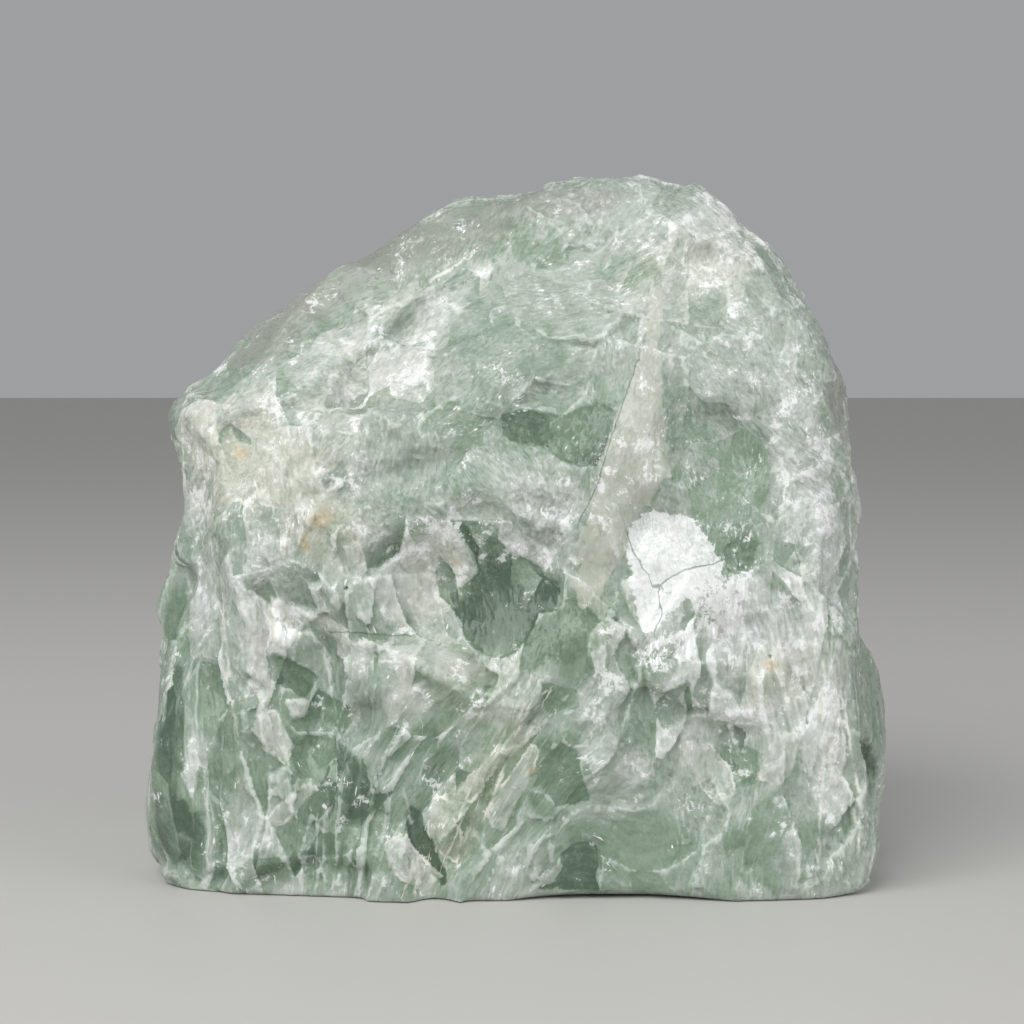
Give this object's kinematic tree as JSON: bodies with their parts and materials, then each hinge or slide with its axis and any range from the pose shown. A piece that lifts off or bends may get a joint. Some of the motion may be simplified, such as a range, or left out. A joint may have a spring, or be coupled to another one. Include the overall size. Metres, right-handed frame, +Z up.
{
  "type": "fluorite freeform",
  "caption": "Rough block of pale green fluorite, broken along its cleavage with ledges, scoops and a pale rib, sawn flat underneath to stand as a display specimen.",
  "frame": {"origin": "on the sawn base, under the middle of the stone's bounding box", "axes": "+Z up from the sawn base; the display face looks along -Y; +X to the right as the display face is seen"},
  "size_m": [0.1386, 0.1008, 0.1294],
  "materials": {
    "fluorite": "translucent grey-green fluorite, glossy on fresh cleavage and frosted white where it is crushed"
  },
  "bodies": {
    "root": {"fluorite_stone": "fluorite"}
  },
  "joints": []
}
